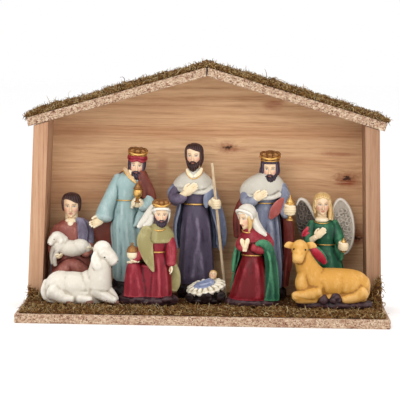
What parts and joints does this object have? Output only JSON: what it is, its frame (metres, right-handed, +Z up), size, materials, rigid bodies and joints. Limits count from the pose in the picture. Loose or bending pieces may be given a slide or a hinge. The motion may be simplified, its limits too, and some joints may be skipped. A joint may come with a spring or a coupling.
{
  "type": "nativity stable",
  "caption": "Shallow wooden stable with a mossy pitched roof and floor, sheltering loose hand-painted ceramic nativity figures and animals.",
  "frame": {"origin": "centre of the underside of the floor board, on the surface the stable stands on", "axes": "+X to the right across the open front, +Y from the open front to the back panel, +Z up"},
  "size_m": [0.3006, 0.12, 0.2082],
  "materials": {
    "chipboard": "raw particle board with dark flecks",
    "softwood": "planed and unvarnished, with knots",
    "moss": "dried moss, glued on",
    "nail_steel": "bright wire",
    "dowel": "sanded dowel",
    "painted_ceramic": "satin hand-painted porcelain",
    "gold_paint": "metallic gold paint, worn to a satin sheen"
  },
  "bodies": {
    "stable": {"floor_board": "chipboard", "wall_left": "softwood", "wall_right": "softwood", "back_panel": "softwood", "roof_left": "chipboard", "roof_right": "chipboard", "floor_moss": "moss", "roof_moss_left": "moss", "roof_moss_right": "moss", "floor_nail_left_front": "nail_steel", "floor_nail_left_rear": "nail_steel", "roof_nail_left_front": "nail_steel", "roof_nail_left_rear": "nail_steel", "panel_nail_left_low": "nail_steel", "panel_nail_left_middle": "nail_steel", "panel_nail_left_high": "nail_steel", "floor_nail_right_front": "nail_steel", "floor_nail_right_rear": "nail_steel", "roof_nail_right_front": "nail_steel", "roof_nail_right_rear": "nail_steel", "panel_nail_right_low": "nail_steel", "panel_nail_right_middle": "nail_steel", "panel_nail_right_high": "nail_steel"},
    "shepherd": {"shepherd": "painted_ceramic"},
    "king_light_blue": {"king_light_blue": "painted_ceramic"},
    "father": {"father": "painted_ceramic"},
    "king_dark_blue": {"king_dark_blue": "painted_ceramic"},
    "angel": {"angel": "painted_ceramic"},
    "sheep": {"sheep": "painted_ceramic"},
    "king_kneeling": {"king_kneeling": "painted_ceramic"},
    "manger": {"manger": "painted_ceramic"},
    "mother": {"mother": "painted_ceramic"},
    "ox": {"ox": "painted_ceramic"},
    "father_staff": {"father_staff": "dowel"}
  },
  "joints": [
    {"name": "shepherd_lift", "type": "slide", "parent": "stable", "child": "shepherd", "axis": [0, 0, 1], "range_m": [0, 0.045]},
    {"name": "king_light_blue_lift", "type": "slide", "parent": "stable", "child": "king_light_blue", "axis": [0, 0, 1], "range_m": [0, 0.036]},
    {"name": "father_lift", "type": "slide", "parent": "stable", "child": "father", "axis": [0, 0, 1], "range_m": [0, 0.035]},
    {"name": "king_dark_blue_lift", "type": "slide", "parent": "stable", "child": "king_dark_blue", "axis": [0, 0, 1], "range_m": [0, 0.036]},
    {"name": "angel_lift", "type": "slide", "parent": "stable", "child": "angel", "axis": [0, 0, 1], "range_m": [0, 0.045]},
    {"name": "sheep_lift", "type": "slide", "parent": "stable", "child": "sheep", "axis": [0, 0, 1], "range_m": [0, 0.09]},
    {"name": "king_kneeling_lift", "type": "slide", "parent": "stable", "child": "king_kneeling", "axis": [0, 0, 1], "range_m": [0, 0.09]},
    {"name": "manger_lift", "type": "slide", "parent": "stable", "child": "manger", "axis": [0, 0, 1], "range_m": [0, 0.09]},
    {"name": "mother_lift", "type": "slide", "parent": "stable", "child": "mother", "axis": [0, 0, 1], "range_m": [0, 0.09]},
    {"name": "ox_lift", "type": "slide", "parent": "stable", "child": "ox", "axis": [0, 0, 1], "range_m": [0, 0.09]},
    {"name": "staff_slide", "type": "slide", "parent": "father", "child": "father_staff", "axis": [-0.1149, 0, 0.9934], "range_m": [0, 0.03]}
  ]
}
